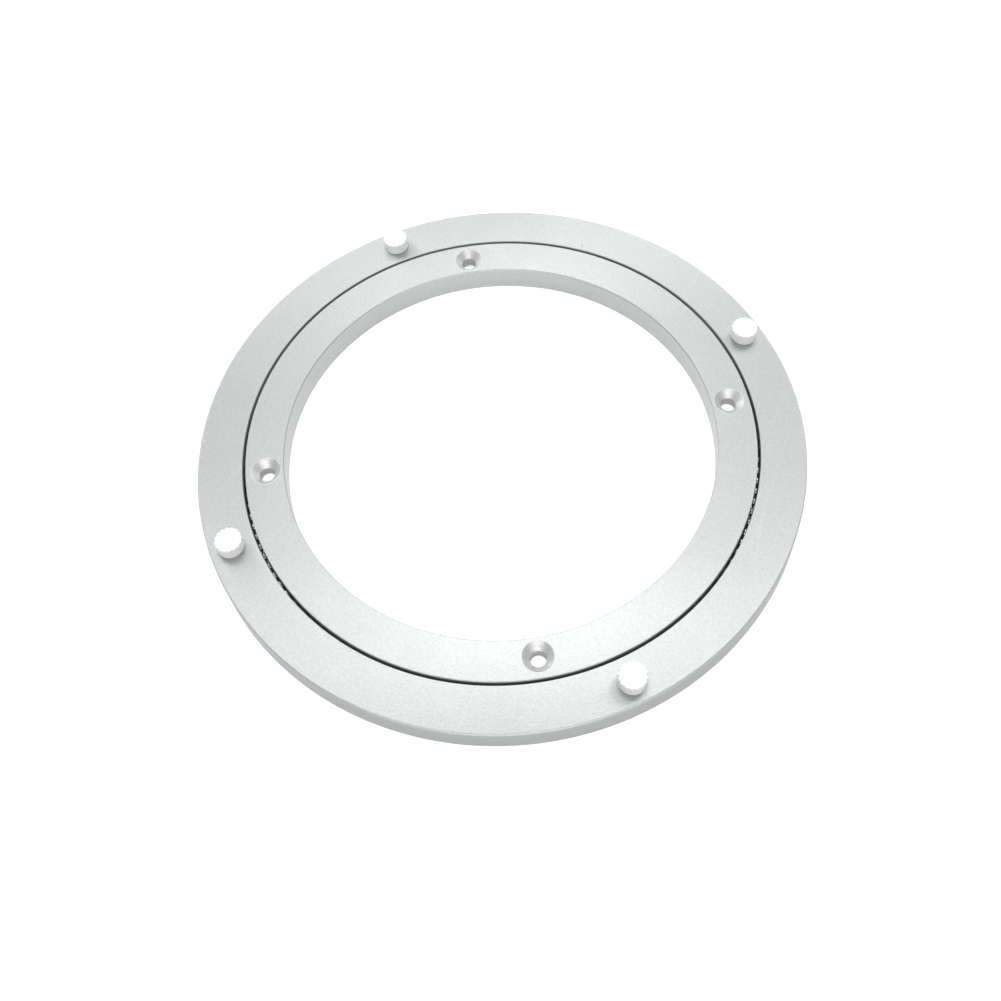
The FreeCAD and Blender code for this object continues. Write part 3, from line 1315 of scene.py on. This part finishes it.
        # Painted shade goes in the stake mark's dimple or in the hole's narrow part, in the dark film colour.
        if opening.steps == self.small_sector:
            profile = self.stake_profile()
            painted_shade = self.loading.stake_shade * (profile[:, 0] < self.loading.stake_radius - CORNER_GUARD)
        else:
            profile = self.hole_profile()
            painted_shade = self.hole_shade * (np.abs(profile[:, 0] - self.hole_radius) < CORNER_GUARD)
        points = polar_points(profile[:, :1], angle, profile[:, 1:]) + np.array([opening.distance, 0.0, 0.0])
        row = np.arange(len(profile))
        # The rounded rim is burnished and gets a painted highlight.
        burnish_and_highlight = self.hole_rim_highlight_and_wear * ((row > 0) & (row <= CORNER_STEPS + 1))
        cut = np.minimum(row, 1.0) * np.minimum(len(profile) - 1 - row, 1.0)
        self.surface.patch(turned_about_axis(points, opening.azimuth), True, edge=burnish_and_highlight, cut=cut, race=painted_shade)

    def build_edges(self) -> None:
        """Add the four chamfered corners, each a profile carried round the axis."""
        for radius, outward, chamfer in self.walls:
            for height, up in ((self.low, -1), (self.high, 1)):
                corners = [
                    (radius - outward * (chamfer + RUN_OUT), height, 0),
                    (radius - outward * chamfer, height, CORNER_REACH),
                    (radius, height - up * chamfer, CORNER_REACH),
                    (radius, height - up * (chamfer + RUN_OUT), 0),
                ]
                profile = rounded_profile(corners)[1:-1]
                # The chamfers are burnished, and their edge mark also paints a highlight on them.
                burnish_and_highlight = np.ones(len(profile))
                burnish_and_highlight[[0, -1]] = 0.0
                self.surface.turned(profile, self.azimuths, edge=burnish_and_highlight)

    def build_walls(self) -> None:
        """Add the two walls, P(azimuth, height), and the loading hole's tunnel between them."""
        curves = []
        for radius, _, chamfer in self.walls:
            profile = lambda height, radius=radius: self.wall_radius(radius, height)
            wall = lambda azimuth, height, profile=profile: polar_points(profile(height), azimuth, height)
            rows = self.wall_rows(chamfer)
            openings = []
            if self.loading:
                opening = WallOpening(math.radians(self.loading.azimuth), self.small_sector, self.race.height,
                                      self.loading.radius, self.race.mouth(), profile)
                curve = opening.curve(opening.border(self.step, rows))
                curves.append(wall(curve[:, 0], curve[:, 1]))
                openings.append(opening)
            # The grooved wall gets the dark film colour: a dull grease film with painted shade.
            grooved = float((radius == self.inner) == (self.side is Side.INWARD))
            self.surface.sheet(wall, self.azimuths, rows, openings, race=grooved)
        if curves:
            self.build_tunnel(*curves)

    def build_tunnel(self, inner: np.ndarray, outer: np.ndarray) -> None:
        """Add the loading hole's wall, straight lines (1 - s) inner(t) + s outer(t).

        Args:
            inner: Points of the hole's curve in the inner wall.
            outer: Points of its curve in the outer wall.
        """
        share = np.linspace(0.0, 1.0, self.loading.tunnel_spans + 1)[:, None, None]
        self.surface.patch((1 - share) * inner + share * outer, True, cut=1.0)

    def build(self, material: Material) -> None:
        """Make the ring.

        Args:
            material: Its finish.
        """
        self.build_faces()
        self.build_edges()
        self.build_walls()
        Piece(self.body, "ring_aluminium", self.node).place(self.surface, material)


@dataclass
class LoadingPlug:
    """The pin that closes the loading hole. Its inner end carries the groove's form.

    Args:
        race: The balls' path.
        hole: The hole that it closes.
        ring_outer: Radius of the ring's outer wall.
    """

    race: BallRace
    hole: LoadingHole
    ring_outer: float
    samples: int = 48
    lead: float = 0.15
    lead_round: float = 0.03
    lead_highlight_and_wear_band: float = 0.2
    turned_length: float = 4.0
    longest_span: float = 0.5
    end_rings: int = 7
    rest_spans: int = 8

    def build(self, material: Material) -> None:
        """Make the plug.

        About its own axis, x, the pin's side is P(x, t) = (x, r cos t, height + r sin t). Its flat
        outer end shrinks to the axis, and its inner end is the groove's surface over the same
        circle: x = sqrt(wall(z)^2 - y^2).

        Args:
            material: Its finish.
        """
        surface = Surface("turned_plug")
        angle = np.linspace(0.0, TURN, self.samples, endpoint=False)[None, :]
        face = self.ring_outer - self.hole.recess
        radius = self.hole.plug_radius
        corners = [(0.0, face, 0), (radius - self.lead, face, self.lead_round),
                   (radius, face - self.lead, self.lead_round), (radius, face - self.turned_length, 0)]
        profile = subdivided(rounded_profile(corners), self.longest_span)
        away, along = profile[:, :1], profile[:, 1:]
        side = self.local(away, angle, along)
        # The band along the lead is worn and gets a painted highlight.
        surface.patch(self.placed(side), True, edge=(np.abs(away - radius) < self.lead_highlight_and_wear_band) * 1.0)
        share = np.linspace(1.0, 0.0, self.end_rings + 1)[:, None] * np.ones_like(angle)
        end = self.local(share * radius, angle, 0.0)
        end[..., 0] = np.sqrt(self.race.wall(Side.INWARD, end[..., 2]) ** 2 - end[..., 1] ** 2)
        surface.patch(self.placed(end), True)
        stretch = np.linspace(0.0, 1.0, self.rest_spans + 1)[:, None, None]
        surface.patch(self.placed((1 - stretch) * side[-1:] + stretch * end[:1]), True)
        Piece("turning_ring", "plug_aluminium", "loading_plug").place(surface, material)

    def local(self, away: np.ndarray, angle: np.ndarray, along: np.ndarray | float) -> np.ndarray:
        """Points at a distance from the pin's axis, an angle about it and a place along it."""
        parts = (along, away * np.cos(angle), self.race.height + away * np.sin(angle))
        return np.stack(np.broadcast_arrays(*parts), axis=-1)

    def placed(self, points: np.ndarray) -> np.ndarray:
        """Points turned to the plug's azimuth."""
        return turned_about_axis(points, math.radians(self.hole.azimuth))


@dataclass
class PlugPad:
    """A push-in pad: serrated head on the outer ring, tapered stem in its hole.

    Args:
        number: Number of the pad's node.
        azimuth: Where it stands, in degrees.
        base: Height of the ring's top.
        circle: Distance of its axis from the turning axis.
    """

    number: int
    azimuth: float
    base: float
    circle: float
    head_radius: float = 4.4
    head_height: float = 4.5
    foot_round: float = 0.5
    top_round: float = 0.4
    stem_radius: float = 2.45
    stem_length: float = 5.5
    stem_taper: float = 0.7
    stem_round: float = 0.1
    notch_count: int = 16
    notch_radius: float = 0.42
    notch_depth: float = 0.38
    notch_lean: float = 8.0
    samples_per_notch: int = 12
    round_steps: int = 5
    longest_span: float = 0.35
    crest_softness: float = 0.02
    top_fade: float = 10.0

    def profile(self) -> np.ndarray:
        """Profile of the pad, from the stem's tip to the middle of the top.

        Returns:
            Distances from the pad's axis and heights above the ring, an array of (n, 2).
        """
        stem, head, tip = self.stem_radius, self.head_radius, -self.stem_length
        corners = [
            (0.0, tip, 0),
            (stem - self.stem_taper, tip, self.stem_round),
            (stem, tip + 2 * self.stem_taper, self.stem_round),
            (stem, 0.0, 0),
            (head, 0.0, self.foot_round),
            (head, self.head_height, self.top_round),
            (0.0, self.head_height, 0),
        ]
        return subdivided(rounded_profile(corners, self.round_steps), self.longest_span)

    def notch_depths(self, angle: np.ndarray, height: np.ndarray) -> np.ndarray:
        """How deep the notches cut into the head's side.

        A notch is a round bar at distance c from the pad's axis that leans outwards on the way down.
        At the angle a from its middle it leaves c cos a - sqrt(r^2 - c^2 sin^2 a) of the head's
        radius. The result is softened to sqrt(d^2 + e^2) - e, so that the crests are a little round.

        Args:
            angle: Angles about the pad's axis, a row.
            height: Heights above the ring, a column.

        Returns:
            The depths, an array of (heights, angles).
        """
        pitch = TURN / self.notch_count
        from_middle = (angle + pitch / 2) % pitch - pitch / 2
        lean = math.tan(math.radians(self.notch_lean))
        centre = self.head_radius + self.notch_radius - self.notch_depth + (self.head_height - height) * lean
        inside = np.maximum(self.notch_radius ** 2 - (centre * np.sin(from_middle)) ** 2, 0.0)
        left = centre * np.cos(from_middle) - np.sqrt(inside)
        depth = np.where(inside > 0, np.maximum(self.head_radius - left, 0.0), 0.0)
        return np.sqrt(depth ** 2 + self.crest_softness ** 2) - self.crest_softness

    def build(self, material: Material) -> None:
        """Make the pad, P(k, t) = ((radius_k - notch) cos t, (radius_k - notch) sin t, height_k).

        Args:
            material: Its finish.
        """
        profile = self.profile()
        away, height = profile[:, :1], profile[:, 1:]
        angle = np.linspace(0.0, TURN, self.notch_count * self.samples_per_notch, endpoint=False)[None, :]
        head = (height > 0.0) * (away / self.head_radius) ** self.top_fade
        radius = away - head * self.notch_depths(angle, height)
        points = polar_points(radius, angle, self.base + height) + np.array([self.circle, 0.0, 0.0])
        surface = Surface(f"plug_pad_{self.number}")
        high_up = height > self.head_height - self.top_round
        far_out = away > self.head_radius - 2 * self.top_round
        rubbed = (high_up & far_out) * 1.0
        surface.patch(turned_about_axis(points, math.radians(self.azimuth)), True, edge=rubbed)
        Piece("turning_ring", "pad_plastic", f"pad_{self.number}").place(surface, material)


@dataclass
class BallTrain:
    """Comb-shaped cage segments and the balls that they hold.

    Args:
        race: The balls' path.
    """

    race: BallRace
    segment_count: int = 8
    pockets: int = 17
    pitch: float = 2.62
    segment_angle: float = 44.8
    first_joint: float = 31.8
    half_thickness: float = 0.3
    pocket_clearance: float = 0.1
    rim: float = 0.8
    finger_reach: float = 1.0
    ball_spans: int = 3
    corner_samples: int = 5
    side_samples: int = 7
    cell_rings: int = 2
    mouth_wear: float = 0.5
    ball_sharp_angle: float = 60.0
    cage_sharp_angle: float = 30.0

    def __post_init__(self) -> None:
        """Work out the pockets' radius and half the width of a pocket's cell."""
        self.pocket = self.race.ball_radius + self.pocket_clearance
        self.half_cell = math.radians(self.pitch / 2) * self.race.circle

    def azimuths(self, segment: int) -> np.ndarray:
        """Azimuths of the balls in one segment.

        Args:
            segment: Number of the segment, from 0.

        Returns:
            The azimuths, in radians.
        """
        middle = self.first_joint + 360.0 / self.segment_count * (segment + 0.5)
        offsets = np.arange(self.pockets) - (self.pockets - 1) / 2
        return np.radians(middle + self.pitch * offsets)

    def build(self, cage: Material, steel: Material) -> None:
        """Make every segment and its balls.

        Args:
            cage: The segments' finish.
            steel: The balls' finish.
        """
        for segment in range(self.segment_count):
            self.build_cage(segment, cage)
            self.build_balls(segment, steel)

    def build_balls(self, segment: int, material: Material) -> None:
        """Make the balls of one segment.

        Each is a cube's six faces pushed out onto the ball, P(a, b) = r (1, tan a, tan b) / length,
        with a and b from -45 to 45 degrees.

        Args:
            segment: Number of the segment, from 0.
            material: The balls' finish.
        """
        surface = Surface(f"steel_balls_{segment + 1}")
        slope = np.tan(np.linspace(-0.125, 0.125, self.ball_spans + 1) * TURN)
        first, second = np.meshgrid(slope, slope, indexing="ij")
        face = np.stack([np.ones_like(first), first, second], axis=-1)
        face *= self.race.ball_radius / np.linalg.norm(face, axis=-1, keepdims=True)
        faces = [np.roll(face * sign, turn, axis=-1) for sign in (1, -1) for turn in range(3)]
        for azimuth in self.azimuths(segment):
            centre = np.array([self.race.circle, 0.0, self.race.height])
            for part in faces:
                surface.patch(turned_about_axis(part + centre, azimuth))
        piece = Piece("ball_train", "ball_steel", f"balls_{segment + 1}")
        piece.place(surface, material, self.ball_sharp_angle)

    def cell_angles(self) -> np.ndarray:
        """Directions from a pocket's middle, with the cell's own corners among them.

        Returns:
            Angles from its left mouth corner down and round to its right one.
        """
        mouth = math.asin(self.finger_reach / self.pocket)
        shoulder = math.atan2(self.finger_reach, self.half_cell)
        foot = math.atan2(-(self.pocket + self.rim), self.half_cell)
        right = np.concatenate([
            np.linspace(-TURN / 4, foot, self.side_samples)[:-1],
            np.linspace(foot, shoulder, self.side_samples * 2)[:-1],
            np.linspace(shoulder, mouth, self.corner_samples),
        ])
        left = -TURN / 2 - right[::-1]
        return np.concatenate([left[:-1], right])

    def cell_border(self, angle: np.ndarray) -> np.ndarray:
        """Where directions from the pocket's middle meet the cell's rectangle.

        Args:
            angle: The directions, from level to the right.

        Returns:
            Points (across, up), an array of (n, 2).
        """
        across, up = np.cos(angle), np.sin(angle)
        to_side = self.half_cell / np.where(np.abs(across) < SLACK, SLACK, across)
        edge = np.where(up > 0, self.finger_reach, -(self.pocket + self.rim))
        to_edge = edge / np.where(np.abs(up) < SLACK, SLACK, up)
        reach = np.minimum(np.abs(to_side), np.abs(to_edge))
        return np.stack([across * reach, up * reach], axis=-1)

    def build_cage(self, segment: int, material: Material) -> None:
        """Make one cage segment, pocket by pocket.

        A pocket's cell is flat in (across, up): P(s, t) = (1 - s) arc(t) + s border(t), from the
        pocket's round edge to the cell's rectangle. It is bent onto two cylinders, and strips join
        the two along the pocket, the fingers' tops, the underside and the segment's ends. The cells
        at both ends are drawn out to the segment's length.

        Args:
            segment: Number of the segment, from 0.
            material: The segment's finish.
        """
        surface = Surface(f"comb_cage_{segment + 1}")
        spare = math.radians((self.segment_angle - self.pitch * self.pockets) / 2) * self.race.circle
        angle = self.cell_angles()
        arc = self.pocket * np.stack([np.cos(angle), np.sin(angle)], axis=-1)
        cell = self.cell_border(angle)
        share = np.linspace(0.0, 1.0, self.cell_rings + 1)[:, None, None]
        for index, azimuth in enumerate(self.azimuths(segment)):
            border = cell.copy()
            for way, last in ((-1, 0), (1, self.pockets - 1)):
                at_side = np.abs(cell[:, 0] - way * self.half_cell) < SLACK
                border[:, 0] += way * spare * at_side * (index == last)
            sheet = (1 - share) * arc + share * border
            inside, outside = (self.bent(sheet, azimuth, side) for side in (-1, 1))
            surface.patch(inside)
            surface.patch(outside)
            surface.patch(np.stack([inside[0], outside[0]]), edge=self.mouth_wear)
            shared = np.abs(np.abs(border[:, 0]) - self.half_cell) < SLACK
            self.close_border(surface, np.stack([inside[-1], outside[-1]]), shared)
        piece = Piece("ball_train", "cage_plastic", f"cage_segment_{segment + 1}")
        piece.place(surface, material, self.cage_sharp_angle)

    def close_border(self, surface: Surface, rim: np.ndarray, shared: np.ndarray) -> None:
        """Join the cage's two faces along a cell's border, except where the next cell goes on.

        Args:
            surface: The cage's surface.
            rim: The border on the inner and on the outer face.
            shared: Which of its points the next cell has too.
        """
        bare = np.flatnonzero(~(shared[:-1] & shared[1:]))
        for run in np.split(bare, np.flatnonzero(np.diff(bare) > 1) + 1):
            surface.patch(rim[:, run[0]:run[-1] + 2])

    def bent(self, flat: np.ndarray, azimuth: float, side: int) -> np.ndarray:
        """Bend points onto the cage's inner or outer face: turn = across / circle.

        Args:
            flat: Points (across, up) about a ball's middle.
            azimuth: The ball's azimuth.
            side: -1 for the inner face, 1 for the outer one.

        Returns:
            The points (x, y, z).
        """
        radius = self.race.circle + side * self.half_thickness
        points = polar_points(radius, flat[..., 0] / self.race.circle, self.race.height + flat[..., 1])
        return turned_about_axis(points, azimuth)


@dataclass
class Bearing:
    """The whole bearing, with the sizes that its parts share."""

    race: BallRace = BallRace()
    loading: LoadingHole = LoadingHole()
    top: float = 9.8
    bore: float = 71.5
    outer: float = 100.0
    lift: float = 0.3
    bore_chamfer: float = 0.3
    slit_chamfer: float = 0.2
    outer_chamfer: float = 0.4
    # Share of painted shade on the outer ring's upright walls.
    outer_wall_shade: float = 0.5
    pad_azimuth: float = 16.0
    pad_count: int = 4
    screw_circle: float = 77.5
    pad_circle: float = 93.0
    pad_finish: MouldedPlastic = MouldedPlastic(
        "pad_plastic", (0.95, 0.95, 0.95, 1.0), (0.91, 0.91, 0.91, 1.0), roughness=0.4, translucence=0.25,
    )
    cage_finish: MouldedPlastic = MouldedPlastic(
        "cage_plastic", (0.035, 0.035, 0.038, 1.0), (0.022, 0.022, 0.024, 1.0), roughness=0.5,
    )

    def build(self) -> None:
        """Build every piece with its finish."""
        self.build_inner_ring()
        self.build_outer_ring()
        turned = TurnedAluminium(math.radians(self.loading.azimuth), self.race.height)
        LoadingPlug(self.race, self.loading, self.outer).build(turned.material())
        white = self.pad_finish.material()
        for index in range(self.pad_count):
            azimuth = self.pad_azimuth + 360.0 / self.pad_count * index
            PlugPad(index + 1, azimuth, self.top, self.pad_circle).build(white)
        BallTrain(self.race).build(self.cage_finish.material(), PolishedSteel().material())

    def build_inner_ring(self) -> None:
        """Build the ring that is screwed down, with its screw holes."""
        blasted = BlastedAluminium("inner_ring_aluminium", self.screw_circle, 0.0, wall_shade=0.0)
        FlatRing(
            node="inner_ring",
            body="base_ring",
            inner=self.bore,
            outer=self.race.circle - self.race.half_slit,
            inner_chamfer=self.bore_chamfer,
            outer_chamfer=self.slit_chamfer,
            low=0.0,
            high=self.top,
            race=self.race,
            side=Side.OUTWARD,
            hole_distance=self.screw_circle,
            hole_azimuth=0.0,
            sunk_from_top=True,
        ).build(blasted.material())

    def build_outer_ring(self) -> None:
        """Build the ring that turns, with the pads' holes and the loading hole."""
        turn = math.radians(self.pad_azimuth)
        blasted = BlastedAluminium("outer_ring_aluminium", self.pad_circle, turn, self.outer_wall_shade)
        FlatRing(
            node="outer_ring",
            body="turning_ring",
            inner=self.race.circle + self.race.half_slit,
            outer=self.outer,
            inner_chamfer=self.slit_chamfer,
            outer_chamfer=self.outer_chamfer,
            low=self.lift,
            high=self.top,
            race=self.race,
            side=Side.INWARD,
            hole_distance=self.pad_circle,
            hole_azimuth=self.pad_azimuth,
            sunk_from_top=False,
            loading=self.loading,
        ).build(blasted.material())


def main() -> None:
    """Build the studio and the bearing and report each piece."""
    logging.basicConfig(level=logging.INFO, format="%(name)s: %(message)s")
    bpy.context.scene.view_settings.view_transform = "Standard"
    PhotoCamera().build(Vector((0.0, 0.0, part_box("inner_ring")[1].z)))
    Studio().build()
    for build_group in (build_grain_group, build_scratch_group, build_tool_mark_group):
        build_group()
    Bearing().build()


if __name__ == "__main__":
    main()
